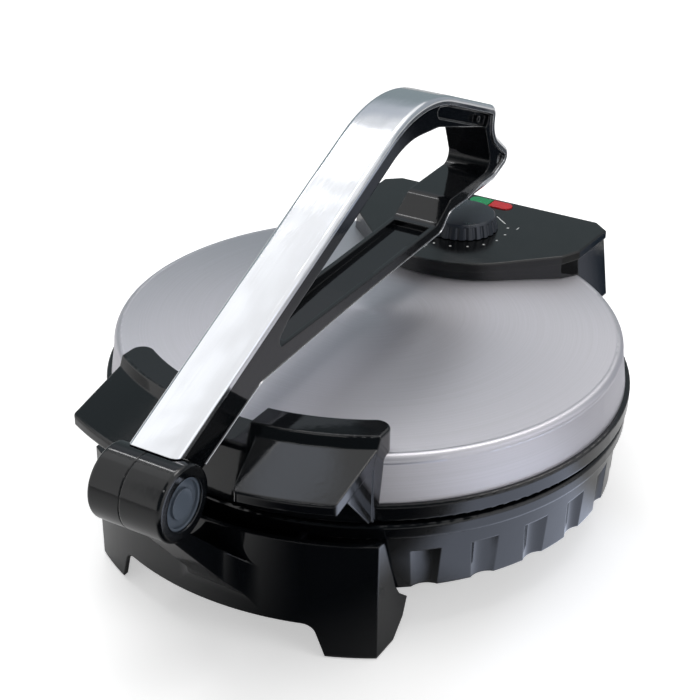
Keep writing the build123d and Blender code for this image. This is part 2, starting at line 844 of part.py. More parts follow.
with BuildPart() as lid_cover:
    with BuildSketch(radial):
        add(lid_outline(0))
    revolve(axis=plate_axis)
    with BuildSketch(radial):
        add(lid_outline(-steel))
    revolve(axis=plate_axis, mode=Mode.SUBTRACT)
    with BuildSketch(level(dome_top + 1)):
        with Locations((0, knob_reach)):
            Circle(access_radius)
    extrude(amount=-dome_rise - shoulder_height - 2, mode=Mode.SUBTRACT)
    for lean in (-bracket_screw_angle, bracket_screw_angle):
        angle = math.radians(-90 + lean)
        outward = (math.cos(angle), math.sin(angle), 0)
        with BuildSketch(Plane(origin=(0, axis_y, skirt_bottom + skirt_height / 2), z_dir=outward)):
            Circle(screw_radius)
        extrude(amount=skirt_bottom_radius + 2, mode=Mode.SUBTRACT)
save(lid_cover, "lid_cover")

with BuildPart() as lid_ring:
    lip_foot = skirt_bottom_radius - steel - seat_gap
    lip_head = lip_foot - ring_lip * (skirt_bottom_radius - skirt_top_radius) / skirt_height
    with BuildSketch(radial):
        with BuildLine():
            Polyline(
                (ring_radius, ring_bottom),
                (ring_radius, skirt_bottom),
                (lip_foot, skirt_bottom),
                (lip_head, skirt_bottom + ring_lip),
                (lip_head - 2.4, skirt_bottom + ring_lip),
                (lip_head - 2.4, upper_plate_top + rim_shelf_thickness),
                (shelf_inner_radius, upper_plate_top + rim_shelf_thickness),
                (shelf_inner_radius, upper_plate_top),
                (rim_inner_radius, upper_plate_top),
                (rim_inner_radius, ring_bottom),
                close=True,
            )
        make_face()
        fillet(vertices().sort_by(Axis.X)[-2:], 1.2)
    revolve(axis=plate_axis)
    with BuildSketch(level(upper_plate_top)):
        with PolarLocations(plate_screw_ring, plate_screw_count, 30):
            Circle(screw_radius)
    extrude(amount=rim_shelf_thickness, mode=Mode.SUBTRACT)
save(lid_ring, "lid_ring")

# ---------------------------------------------------------------- front bracket of the lid

tab_root = dome_edge + tab_root_height
tab_tip = tab_root - tab_drop
hood_top = dome_edge + hood_height

with BuildPart() as lift_tab:
    # one tab, the right one
    with BuildSketch(radial):
        with BuildLine():
            Polyline(
                (hood_outer_radius - 3, tab_root + 0.8),
                (tab_root_radius, tab_root),
                (tab_reach, tab_tip),
                (tab_reach, tab_tip - tab_thickness),
                (hood_outer_radius - 3, tab_root - tab_thickness),
                close=True,
            )
        make_face()
        fillet(vertices().sort_by(Axis.X)[-2:], tab_edge)
    revolve(axis=plate_axis)
    with BuildSketch(level(tab_tip - 2 * tab_thickness)):
        Circle(tab_reach)
        with BuildLine():
            Polyline(
                (tab_gap_half, -hood_inner_radius),
                (tab_gap_half + tab_gap_flare, -tab_reach),
                (tab_gap_half + tab_gap_flare, -tab_reach - 5),
                (tab_outer_half, -tab_reach - 5),
                (tab_outer_half, -hood_inner_radius + 20),
                close=True,
            )
        make_face(mode=Mode.INTERSECT)
        fillet(vertices().sort_by_distance((0, 0))[-2:], tab_corner)
    extrude(amount=4 * tab_thickness, mode=Mode.INTERSECT)

with BuildPart() as hood_hollow:
    with BuildSketch(radial):
        with Locations((hood_inner_radius + hood_wall, shoulder_bottom)):
            Rectangle(
                hood_outer_radius - hood_inner_radius - 2 * hood_wall,
                hood_top - hood_wall - shoulder_bottom,
                align=(Align.MIN, Align.MIN),
            )
    revolve(axis=plate_axis)
    with BuildSketch(level(shoulder_bottom)):
        with Locations((0, -tab_reach)):
            Rectangle(2 * bracket_half_width - 2 * hood_wall, 2 * tab_reach)
            Rectangle(2 * notch_half + 2 * hood_wall, 2 * tab_reach, mode=Mode.SUBTRACT)
    extrude(amount=hood_height * 2, mode=Mode.INTERSECT)

with BuildPart() as lid_bracket:
    # hood over the lid's edge, and the skirt in front of it
    with BuildSketch(radial):
        with BuildLine():
            Polyline(
                (hood_inner_radius - 10, hood_top),
                (hood_outer_radius, hood_top),
                (tab_root_radius, tab_root),
                (bracket_skirt_radius - 1.5, tab_root - 4),
                (bracket_skirt_radius, tab_root - 8),
                (bracket_skirt_radius, bracket_skirt_bottom),
                (hood_inner_radius - 10, bracket_skirt_bottom),
                close=True,
            )
        make_face()
    revolve(axis=plate_axis)
    with BuildSketch(level(bracket_skirt_bottom)):
        Circle(bracket_skirt_radius + 5)
        Circle(hood_inner_radius, mode=Mode.SUBTRACT)
        with Locations((0, -tab_reach)):
            Rectangle(2 * bracket_half_width, 2 * tab_reach, mode=Mode.INTERSECT)
        fillet(vertices().sort_by_distance((0, 0))[:2], hood_corner)
    extrude(amount=hood_top, mode=Mode.INTERSECT)
    fillet(lid_bracket.faces().sort_by(Axis.Z)[-1].edges(), hood_edge)
    with BuildSketch(level(dome_edge + notch_height)):
        with Locations((0, -tab_reach)):
            Rectangle(2 * notch_half, 2 * tab_reach)
    extrude(amount=hood_height, mode=Mode.SUBTRACT)
    add(hood_hollow.part, mode=Mode.SUBTRACT)
    add(lift_tab.part)
    add(mirror(lift_tab.part, about=Plane.YZ, mode=Mode.PRIVATE))
    for hand in (-1, 1):
        gusset_x = bracket_half_width - gusset_thickness / 2 - 0.5
        wall_y = math.sqrt(bracket_skirt_radius**2 - gusset_x**2)
        with BuildSketch(side(hand * gusset_x)):
            with BuildLine():
                Polyline(
                    (-wall_y + 3, tab_root - tab_thickness),
                    (-wall_y - gusset_reach, tab_tip - tab_thickness + 3.5),
                    (-wall_y - 2, bracket_skirt_bottom + 1),
                    (-wall_y + 3, bracket_skirt_bottom + 1),
                    close=True,
                )
            make_face()
        extrude(amount=gusset_thickness / 2, both=True)
    add(lid_space(), mode=Mode.SUBTRACT)
    for lean in (-bracket_screw_angle, bracket_screw_angle):
        angle = math.radians(-90 + lean)
        outward = (math.cos(angle), math.sin(angle), 0)
        with BuildSketch(Plane(origin=(0, axis_y, skirt_bottom + skirt_height / 2), z_dir=outward)):
            Circle(screw_radius)
        extrude(amount=bracket_skirt_radius - 1.5, mode=Mode.SUBTRACT)
save(lid_bracket, "lid_bracket")

with BuildPart() as bracket_screws:
    for lean in (-bracket_screw_angle, bracket_screw_angle):
        angle = math.radians(-90 + lean)
        outward = Vector(math.cos(angle), math.sin(angle), 0)
        seat = (skirt_bottom_radius + skirt_top_radius) / 2 - steel - 2 * seat_gap
        centre = Vector(0, axis_y, skirt_bottom + skirt_height / 2)
        with BuildSketch(Plane(origin=centre + outward * seat, z_dir=outward)):
            Circle(screw_head_radius)
        extrude(amount=-screw_head_height)
        with BuildSketch(Plane(origin=centre + outward * seat, z_dir=outward)):
            Circle(screw_radius - running_gap)
        extrude(amount=bracket_skirt_radius - 2 - seat)
save(bracket_screws, "bracket_screws")

# ---------------------------------------------------------------- control housing


def panel_outline(inset):
    """Plan of the control panel, pulled in on all sides by an inset."""
    tangent = panel_nose_radius * math.sin(math.pi / 4)
    nose_centre = panel_nose_reach + panel_nose_radius
    shoulder_reach = nose_centre - 2 * tangent + panel_shoulder_half
    with BuildSketch(Plane.XY) as plan:
        with BuildLine():
            nose = ThreePointArc(
                (-tangent, nose_centre - tangent), (0, panel_nose_reach), (tangent, nose_centre - tangent)
            )
            Polyline(
                nose @ 1,
                (panel_shoulder_half, shoulder_reach),
                (panel_side_half, panel_side_start),
                (panel_corner_half, panel_corner_reach),
                (panel_back_half, panel_back_reach),
                (-panel_back_half, panel_back_reach),
                (-panel_corner_half, panel_corner_reach),
                (-panel_side_half, panel_side_start),
                (-panel_shoulder_half, shoulder_reach),
                nose @ 0,
            )
        make_face()
        if inset > 0:
            offset(amount=-inset, kind=Kind.INTERSECTION, mode=Mode.REPLACE)
    return plan.sketch


with BuildPart() as control_housing:
    with BuildSketch(level(panel_bottom)):
        add(panel_outline(housing_inset))
    extrude(amount=housing_bottom - panel_bottom, taper=-housing_draft)
    with BuildSketch(level(deck_bottom)):
        add(panel_outline(housing_inset + housing_wall))
    extrude(amount=housing_bottom - deck_bottom, taper=-housing_draft, mode=Mode.SUBTRACT)
    add(lid_space(), mode=Mode.SUBTRACT)
    with BuildSketch(level(panel_bottom)):
        with Locations((0, knob_reach)):
            Circle(collar_radius + seat_gap)
        with Locations((-lens_length / 4, lens_reach), (lens_length / 4, lens_reach)):
            Circle(lamp_radius + seat_gap)
        for hand in (-1, 1):
            with Locations((hand * (arm_inner + arm_width / 2), hinge_reach)):
                Circle(screw_radius)
    extrude(amount=-housing_deck, mode=Mode.SUBTRACT)
    with BuildSketch(level(panel_bottom)):
        for hand in (-1, 1):
            with Locations((hand * (arm_inner + arm_width / 2), hinge_reach)):
                Circle(screw_head_radius + seat_gap)
    extrude(amount=-screw_head_height, mode=Mode.SUBTRACT)
save(control_housing, "control_housing")

with BuildPart() as control_panel:
    with BuildSketch(level(panel_bottom)):
        add(panel_outline(0))
    extrude(amount=panel_thickness)
    chamfer(control_panel.faces().sort_by(Axis.Z)[-1].edges(), panel_edge)
    with BuildSketch(level(panel_bottom)):
        with Locations((0, knob_reach)):
            Circle(collar_radius + seat_gap)
        with Locations((0, lens_reach)):
            SlotOverall(lens_length + 2 * lens_fit, lens_width + 2 * lens_fit)
    extrude(amount=panel_thickness, mode=Mode.SUBTRACT)
save(control_panel, "control_panel")


def lens(hand, name):
    """Half of the pill-shaped lamp window."""
    with BuildPart() as window:
        with BuildSketch(level(panel_top + lens_proud - lens_depth)):
            with Locations((0, lens_reach)):
                SlotOverall(lens_length, lens_width)
            with Locations((hand * (lens_length / 2 + lens_fit / 2), lens_reach)):
                Rectangle(lens_length, 2 * lens_width, mode=Mode.INTERSECT)
        extrude(amount=lens_depth)
        fillet(window.faces().sort_by(Axis.Z)[-1].edges(), lens_proud * 0.8)
    save(window, name)


lens(-1, "green_lens")
lens(1, "red_lens")

with BuildPart() as lamp_holders:
    with BuildSketch(level(panel_top + lens_proud - lens_depth - seat_gap)):
        with Locations((-lens_length / 4, lens_reach), (lens_length / 4, lens_reach)):
            Circle(lamp_radius)
    extrude(amount=-lamp_length)
save(lamp_holders, "lamp_holders")

# ---------------------------------------------------------------- thermostat and knob

knob_bottom = panel_top + knob_lift
knob_rim = knob_bottom + knob_height
shaft_bottom = deck_bottom - thermostat_height / 2
collar_top = panel_top - 1

with BuildPart() as thermostat:
    with BuildSketch(level(deck_bottom)):
        with Locations((0, knob_reach)):
            Circle(thermostat_radius)
    extrude(amount=-thermostat_height)
    with BuildSketch(level(deck_bottom)):
        with Locations((0, knob_reach)):
            Circle(collar_radius)
    extrude(amount=collar_top - deck_bottom)
    with BuildSketch(level(collar_top)):
        with Locations((0, knob_reach)):
            Circle(shaft_radius + running_gap)
    extrude(amount=shaft_bottom - collar_top, mode=Mode.SUBTRACT)
save(thermostat, "thermostat")

with BuildPart() as thermostat_shaft:
    with BuildSketch(level(shaft_bottom + seat_gap)):
        with Locations((0, knob_reach)):
            Circle(shaft_radius)
    extrude(amount=knob_rim - knob_wall - shaft_bottom - seat_gap)
save(thermostat_shaft, "thermostat_shaft")

knob_plane = Plane(origin=(0, axis_y + knob_reach, 0), x_dir=(1, 0, 0), z_dir=(0, -1, 0))
knob_axis = Axis((0, axis_y + knob_reach, 0), (0, 0, 1))

with BuildPart() as knob:
    with BuildSketch(knob_plane):
        with BuildLine():
            crown = ThreePointArc(
                (0, knob_rim + knob_crown),
                (knob_top_radius / 2, knob_rim + knob_crown * 0.75),
                (knob_top_radius - 0.6, knob_rim),
            )
            Polyline(
                crown @ 1,
                (knob_top_radius, knob_rim - 0.6),
                (knob_radius, knob_bottom),
                (knob_radius - knob_wall, knob_bottom),
                (knob_top_radius - knob_wall, knob_rim - knob_wall),
                (hub_radius, knob_rim - knob_wall),
                (hub_radius, knob_bottom + 1),
                (shaft_radius, knob_bottom + 1),
                (shaft_radius, knob_rim - knob_wall),
                (0, knob_rim - knob_wall),
                crown @ 0,
            )
        make_face()
    revolve(axis=knob_axis)
    # grooves that follow the knob's taper
    knob_taper = math.atan2(knob_radius - knob_top_radius, knob_height)
    groove_ring = knob_radius + knob_groove_radius - knob_groove_depth
    groove_planes = []
    for i in range(knob_groove_count):
        turn = 2 * math.pi * i / knob_groove_count
        outward = Vector(math.cos(turn), math.sin(turn), 0)
        foot = Vector(0, axis_y + knob_reach, knob_bottom) + outward * groove_ring
        groove_planes.append(Plane(
            origin=foot, x_dir=outward.cross(Vector(0, 0, 1)),
            z_dir=Vector(0, 0, math.cos(knob_taper)) - outward * math.sin(knob_taper),
        ))
    with BuildSketch(*groove_planes):
        Circle(knob_groove_radius)
    extrude(amount=knob_height - knob_band, mode=Mode.SUBTRACT)
save(knob, "knob")

# ---------------------------------------------------------------- press lever

slope = math.tan(math.radians(lever_slope))
fall = math.tan(math.radians(lever_fall))
root_reach = -pivot_reach + 3.2                    # where the crown leaves the barrel
root_height = lever_crest_height - slope * (lever_crest_reach - root_reach)
nose_reach = lever_nose_reach
nose_height = lever_crest_height - fall * (nose_reach - lever_crest_reach)


def crown_height(reach):
    """Height of the crown's falling run at a reach."""
    return lever_crest_height - fall * (reach - lever_crest_reach)


def lever_outline(inset):
    """Side view of the whole lever, pulled in on all sides by an inset."""
    with BuildSketch(Plane.XY) as view:
        with BuildLine():
            FilletPolyline(
                (root_reach, root_height),
                (lever_crest_reach, lever_crest_height),
                (nose_reach, nose_height),
                (nose_reach - 2, nose_height - 16.5),
                (nose_reach + 28, nose_height - 39.2),
                (nose_reach + 1, nose_height - 48.2),
                (nose_reach - 56, nose_height - 48.8),
                (nose_reach - 66, nose_height - 57.8),
                (nose_reach - 160, nose_height - 61),
                (nose_reach - 252, nose_height - 67),
                (nose_reach - 263, nose_height - 71.8),
                (-pivot_reach + 24.5, pivot_height + 2),
                (-pivot_reach + 4, pivot_height - 2),
                radius=[lever_crest_radius, 7, 14, 7.5, 12, 9, 9, 60, 12, 12, 3],
            )
            Line((-pivot_reach + 4, pivot_height - 2), (root_reach, root_height))
        make_face()
        if inset > 0:
            offset(amount=-inset, kind=Kind.INTERSECTION, mode=Mode.REPLACE)
    return view.sketch


def hand_hole():
    """Side view of the long opening between the lever's two limbs."""
    rise = limb_depth / math.cos(math.radians(lever_slope))
    top_reach = lever_crest_reach - 17
    top_height = lever_crest_height - slope * (lever_crest_reach - top_reach) - rise
    with BuildSketch(Plane.XY) as view:
        with BuildLine():
            FilletPolyline(
                (nose_reach - 235, nose_height - 54.6),
                (nose_reach - 140, nose_height - 53.2),
                (nose_reach - 72, nose_height - 50.8),
                (nose_reach - 55, nose_height - 40.3),
                (nose_reach - 2, nose_height - 39),
                (nose_reach - 14, nose_height - 9),
                (nose_reach - 74, nose_height + 9.6),
                (top_reach, top_height),
                (nose_reach - 228, top_height - slope * (top_reach - nose_reach + 228)),
                (nose_reach - 236, nose_height - 50),
                radius=[2.4, 60, 8, 8, 7, 5, 26, 60, 8, 2.4],
                close=True,
            )
        make_face()
    return view.sketch


def lever_plan(inset):
    """Plan of the lever: it widens from its root to full width."""
    root = lever_root_half - inset
    full = lever_top_half - inset
    front = -pivot_reach - barrel_radius
    with BuildSketch(Plane.XY) as plan:
        with BuildLine():
            Polyline(
                (-root, front),
                (root, front),
                (full, lever_widen_reach),
                (full, nose_reach + 40),
                (-full, nose_reach + 40),
                (-full, lever_widen_reach),
                close=True,
            )
        make_face()
    return plan.sketch


with BuildPart() as lever_arm:
    with BuildSketch(side(0)):
        add(lever_outline(strip_thickness + strip_fit))
    extrude(amount=lever_top_half, both=True)
    with BuildSketch(side(0)):
        add(hand_hole())
    extrude(amount=lever_top_half, both=True, mode=Mode.SUBTRACT)
    with BuildSketch(level(0)):
        add(lever_plan(strip_side + strip_fit))
    extrude(amount=lever_crest_height, mode=Mode.INTERSECT)
    # room round the fixed half of the barrel
    with BuildSketch(side(barrel_split)):
        with Locations((-pivot_reach, pivot_height)):
            Circle(barrel_radius + 2 * seat_gap)
    extrude(amount=2 * barrel_half_length, mode=Mode.SUBTRACT)
    # moving half of the barrel
    with BuildSketch(side(-barrel_half_length)):
        with Locations((-pivot_reach, pivot_height)):
            Circle(barrel_radius)
    extrude(amount=barrel_half_length + barrel_split)
    fillet(lever_arm.edges().filter_by(GeomType.CIRCLE).sort_by(outer_end)[-1], barrel_edge)
    with BuildSketch(side(-barrel_half_length + cap_thickness - 0.5)):
        with Locations((-pivot_reach, pivot_height)):
            Circle(pin_radius + bush_wall)
    extrude(amount=barrel_half_length + barrel_split, mode=Mode.SUBTRACT)
    # the lower limb is a channel, open upwards
    with BuildSketch(side(0)):
        with BuildLine():
            Polyline(
                (nose_reach - 228, nose_height - 67 + channel_wall + 1.6),
                (nose_reach - 160, nose_height - 61 + channel_wall),
                (nose_reach - 76, nose_height - 57.3 + channel_wall),
                (nose_reach - 76, nose_height - 40),
                (nose_reach - 228, nose_height - 52),
                close=True,
            )
        make_face()
    extrude(amount=lever_top_half - strip_side - channel_wall, both=True, mode=Mode.SUBTRACT)
    with Locations(Location((lever_top_half - strip_side - strip_fit, axis_y + nose_reach + 8, nose_height - 36.5),
                            (0, 90, 0))):
        Hole(lever_screw_radius, depth=3)
    # recess in each side of the hand end, under the strip
    for hand in (-1, 1):
        with BuildSketch(side(hand * lever_top_half)):
            with BuildLine():
                Polyline(
                    (recess_front, crown_height(recess_front) - recess_top - 3),
                    (recess_front + 16, crown_height(recess_front + 16) - recess_top),
                    (nose_reach - recess_back, crown_height(nose_reach - recess_back) - recess_top),
                    (nose_reach - recess_back - 3, crown_height(nose_reach - recess_back - 3) - recess_bottom),
                    (recess_front + 6, crown_height(recess_front + 6) - recess_bottom),
                    close=True,
                )
            make_face()
            fillet(vertices(), recess_corner)
            with Locations((nose_reach - 24, crown_height(nose_reach - 24) - (recess_top + recess_bottom) / 2)):
                Circle(recess_boss, mode=Mode.SUBTRACT)
        extrude(amount=-hand * (strip_side + recess_depth), mode=Mode.SUBTRACT)
save(lever_arm, "lever_arm")

def runs_along(edge):
    """True for the edges along the two flanks of the lever's full outline."""
    crossing = abs((edge @ 0).X - (edge @ 1).X) > lever_root_half
    return abs(edge.center().X) > lever_root_half - strip_side and not crossing


def without_lips():
    """Side view of where the strip is plain sheet, with no lip down the lever's flank."""
    with BuildSketch(Plane.XY) as view:
        with BuildLine():
            Polyline(
                (root_reach - 40, root_height - 0.6),
                (root_reach + 0.8, root_height - 0.6),
                (root_reach + 14, root_height - 3),
                (nose_reach - 180, nose_height - 30),
                (nose_reach - 60, nose_height - 12),
                (nose_reach - 12, nose_height - 30),
                (nose_reach - 2, nose_height - 41),
                (nose_reach - 34, nose_height - 47),
                (nose_reach - 34, nose_height - 80),
                (root_reach - 40, nose_height - 120),
                close=True,
            )
        make_face()
    return view.sketch


with BuildPart() as lever_strip:
    # a closed band of sheet round the lever, with rounded lips on the flanks of its upper limb and nose
    with BuildSketch(side(0)):
        add(lever_outline(0))
    extrude(amount=lever_top_half, both=True)
    with BuildSketch(level(0)):
        add(lever_plan(0))
    extrude(amount=2 * lever_crest_height, mode=Mode.INTERSECT)
    fillet(lever_strip.edges().filter_by(runs_along), strip_round)
    with BuildPart(mode=Mode.PRIVATE) as core:
        with BuildSketch(side(0)):
            add(lever_outline(strip_thickness))
        extrude(amount=lever_top_half, both=True)
        with BuildSketch(level(0)):
            add(lever_plan(strip_side))
        extrude(amount=2 * lever_crest_height, mode=Mode.INTERSECT)
    add(core.part, mode=Mode.SUBTRACT)
    with BuildSketch(side(0)):
        add(without_lips())
        add(lever_outline(strip_thickness), mode=Mode.INTERSECT)
        add(lever_outline(strip_lip))
    extrude(amount=lever_top_half + 1, both=True, mode=Mode.SUBTRACT)
    # the band ends clear of the barrel, above and below
    with BuildSketch(side(0)):
        add(without_lips())
        with Locations((-pivot_reach + strip_root_gap, pivot_height)):
            Rectangle(pivot_reach, pivot_reach, align=(Align.MAX, Align.CENTER), mode=Mode.INTERSECT)
        with Locations((-pivot_reach, pivot_height)):
            Circle(barrel_radius + 2 * seat_gap)
    extrude(amount=lever_top_half + 1, both=True, mode=Mode.SUBTRACT)
save(lever_strip, "lever_strip")

with BuildPart() as lever_bush:
    with BuildSketch(side(pin_left + 0.1)):
        with Locations((-pivot_reach, pivot_height)):
            Circle(pin_radius + bush_wall)
            Circle(pin_radius + running_gap, mode=Mode.SUBTRACT)
    extrude(amount=barrel_split - pin_left - 0.1)
save(lever_bush, "lever_bush")

with BuildPart() as lever_screw:
    with BuildSketch(side(lever_top_half - strip_side - 3)):
        with Locations((nose_reach + 8, nose_height - 36.5)):
            Circle(lever_screw_radius - running_gap)
    extrude(amount=2.2)
save(lever_screw, "lever_screw")
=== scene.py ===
import json
import math

import bpy
from mathutils import Matrix, Vector


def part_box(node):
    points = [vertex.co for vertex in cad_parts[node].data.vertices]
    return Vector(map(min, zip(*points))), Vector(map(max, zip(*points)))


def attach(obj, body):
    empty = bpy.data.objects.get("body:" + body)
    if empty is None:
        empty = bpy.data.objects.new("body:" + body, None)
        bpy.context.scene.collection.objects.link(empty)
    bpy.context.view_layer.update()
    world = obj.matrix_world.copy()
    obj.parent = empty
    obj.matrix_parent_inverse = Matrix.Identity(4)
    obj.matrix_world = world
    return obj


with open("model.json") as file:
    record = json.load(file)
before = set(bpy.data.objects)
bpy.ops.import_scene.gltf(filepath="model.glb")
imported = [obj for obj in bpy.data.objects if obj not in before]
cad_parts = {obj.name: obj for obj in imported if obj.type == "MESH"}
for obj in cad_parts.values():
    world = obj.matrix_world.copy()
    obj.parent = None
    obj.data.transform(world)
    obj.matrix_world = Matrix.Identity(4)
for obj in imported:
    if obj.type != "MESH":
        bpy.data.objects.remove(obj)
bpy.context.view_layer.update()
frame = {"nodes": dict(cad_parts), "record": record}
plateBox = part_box("lower_plate")
plateAxis = (plateBox[0].y + plateBox[1].y) / 2   # y of the plates' upright axis
mm = 0.001
print("frame loaded")


def linearColour(code):
    # sRGB hex to the linear colour that a shader socket takes
    channels = [int(code[i:i + 2], 16) / 255 for i in (1, 3, 5)]
    return [c / 12.92 if c <= 0.04045 else ((c + 0.055) / 1.055) ** 2.4 for c in channels] + [1.0]


def addNode(tree, kind, settings=(), links=()):
    # one node, with its settings by attribute or socket name, and its links by socket name
    node = tree.nodes.new(kind)
    for name, value in dict(settings).items():
        if isinstance(name, str) and hasattr(node, name):
            setattr(node, name, value)
        else:
            node.inputs[name].default_value = value
    for name, source in dict(links).items():
        tree.links.new(source, node.inputs[name])
    return node


def startMaterial(name, sockets):
    # a material with one Principled shader, and what is the same all over set on its sockets
    material = bpy.data.materials.new(name)
    material.use_nodes = True
    tree = material.node_tree
    tree.nodes.clear()
    shader = addNode(tree, "ShaderNodeBsdfPrincipled", sockets)
    addNode(tree, "ShaderNodeOutputMaterial", links={"Surface": shader.outputs["BSDF"]})
    return material, tree, shader


noiseSpan = dict(low=0.3, high=0.7)   # where most values of a noise lie


def mottled(tree, size, low, high, detail=3.0, stretch=(1, 1, 1)):
    # noise on the object's own coordinates, with blotches of a real size, mapped between two values
    place = addNode(tree, "ShaderNodeTexCoord")
    stretched = addNode(tree, "ShaderNodeMapping", {"Scale": stretch}, {"Vector": place.outputs["Object"]})
    noise = addNode(tree, "ShaderNodeTexNoise", {"Scale": 1 / size, "Detail": detail},
                    {"Vector": stretched.outputs[0]})
    return addNode(tree, "ShaderNodeMapRange", {
        "From Min": noiseSpan["low"], "From Max": noiseSpan["high"], "To Min": low, "To Max": high},
        {"Value": noise.outputs["Fac"]}).outputs[0]


def smudged(tree, shader, size, roughness, spread):
    # roughness that wanders a little, as handling and cooling leave it
    rough = mottled(tree, size, roughness - spread, roughness + spread)
    tree.links.new(rough, shader.inputs["Roughness"])


bevelSamples = 6


def roundedEdges(tree, shader, radius, height, depth):
    # the highlight of a moulded or deburred edge, and a fine relief over it
    normal = addNode(tree, "ShaderNodeBevel", {"samples": bevelSamples, "Radius": radius}).outputs[0]
    relief = addNode(tree, "ShaderNodeBump", {"Distance": depth}, {"Height": height, "Normal": normal})
    tree.links.new(relief.outputs[0], shader.inputs["Normal"])


glossPlastic = dict(colour="#0b0d10", ior=1.5, roughness=(0.05, 0.11), smudge=40 * mm,
                    peel=3.5 * mm, peelDepth=0.008 * mm, edge=1.1 * mm)


def glossBlackAbs():
    # ABS moulded in a polished tool: deep black, a clear mirror of its surroundings, a faint orange peel
    material, tree, shader = startMaterial("glossBlackAbs", {
        "Base Color": linearColour(glossPlastic["colour"]), "IOR": glossPlastic["ior"]})
    rough = mottled(tree, glossPlastic["smudge"], *glossPlastic["roughness"])
    tree.links.new(rough, shader.inputs["Roughness"])
    peel = mottled(tree, glossPlastic["peel"], 0, 1, 1.0)
    roundedEdges(tree, shader, glossPlastic["edge"], peel, glossPlastic["peelDepth"])
    return material


satinPlastic = dict(ior=1.5, smudge=12 * mm, spread=0.04, grain=0.6 * mm, grainDepth=0.004 * mm,
                    edge=0.6 * mm)


def satinAbs(name, colour, roughness):
    # ABS from a fine spark-eroded tool: dark, with a soft sheen and no clear mirror
    material, tree, shader = startMaterial(name, {
        "Base Color": linearColour(colour), "IOR": satinPlastic["ior"]})
    smudged(tree, shader, satinPlastic["smudge"], roughness, satinPlastic["spread"])
    grain = mottled(tree, satinPlastic["grain"], 0, 1, 2.0)
    roundedEdges(tree, shader, satinPlastic["edge"], grain, satinPlastic["grainDepth"])
    return material


spunSteel = dict(colour="#d1cfd6", dark="#c6c5c9", metallic=0.9, roughness=(0.42, 0.47), anisotropic=0.5,
                 line=0.9 * mm, turns=0.8, span=(0.2, 0.8))


def circularBrushedSteel():
    # stainless sheet brushed while it turns: fine rings about the plate axis that fan a light out softly.
    # The real lines are 0.05 mm apart; they are drawn at 0.9 mm so that a trace of them shows.
    # A tenth of the surface is left matt, for the light that fine scratches scatter.
    material, tree, shader = startMaterial("circularBrushedStainless", {
        "Metallic": spunSteel["metallic"], "Anisotropic": spunSteel["anisotropic"]})
    place = addNode(tree, "ShaderNodeTexCoord")
    centred = addNode(tree, "ShaderNodeMapping", {"Location": (0, -plateAxis, 0)},
                      {"Vector": place.outputs["Object"]})
    parts = addNode(tree, "ShaderNodeSeparateXYZ", links={"Vector": centred.outputs[0]})
    flat = addNode(tree, "ShaderNodeCombineXYZ", links={"X": parts.outputs["X"], "Y": parts.outputs["Y"]})
    radius = addNode(tree, "ShaderNodeVectorMath", {"operation": "LENGTH"}, {0: flat.outputs[0]})
    down = addNode(tree, "ShaderNodeMath", {"operation": "SUBTRACT"},
                   {0: radius.outputs["Value"], 1: parts.outputs["Z"]})
    lines = addNode(tree, "ShaderNodeMath", {"operation": "DIVIDE", 1: spunSteel["line"]},
                    {0: down.outputs[0]})
    angle = addNode(tree, "ShaderNodeMath", {"operation": "ARCTAN2"},
                    {0: parts.outputs["Y"], 1: parts.outputs["X"]})
    along = addNode(tree, "ShaderNodeMath", {"operation": "MULTIPLY", 1: spunSteel["turns"]},
                    {0: angle.outputs[0]})
    wrapped = addNode(tree, "ShaderNodeCombineXYZ", links={"X": lines.outputs[0], "Y": along.outputs[0]})
    brush = addNode(tree, "ShaderNodeTexNoise", {"Scale": 1.0, "Detail": 2.0},
                    {"Vector": wrapped.outputs[0]})
    fromLow, fromHigh = spunSteel["span"]
    low, high = spunSteel["roughness"]
    rough = addNode(tree, "ShaderNodeMapRange", {
        "From Min": fromLow, "From Max": fromHigh, "To Min": low, "To Max": high},
        {"Value": brush.outputs["Fac"]})
    tree.links.new(rough.outputs[0], shader.inputs["Roughness"])
    tone = addNode(tree, "ShaderNodeMix", {"data_type": "RGBA", 6: linearColour(spunSteel["colour"]),
                                           7: linearColour(spunSteel["dark"])}, {0: brush.outputs["Fac"]})
    tree.links.new(tone.outputs[2], shader.inputs["Base Color"])
    ring = addNode(tree, "ShaderNodeTangent", {"direction_type": "RADIAL", "axis": "Z"})
    tree.links.new(ring.outputs[0], shader.inputs["Tangent"])
    return material


brightSheet = dict(colour="#e6e8ec", roughness=(0.12, 0.2), grain=0.8 * mm, grainStretch=(1, 0.02, 0.02),
                   width=33 * mm, crown=0.3 * mm, ripple=24 * mm, rippleDepth=0.3 * mm, edge=0.4 * mm)


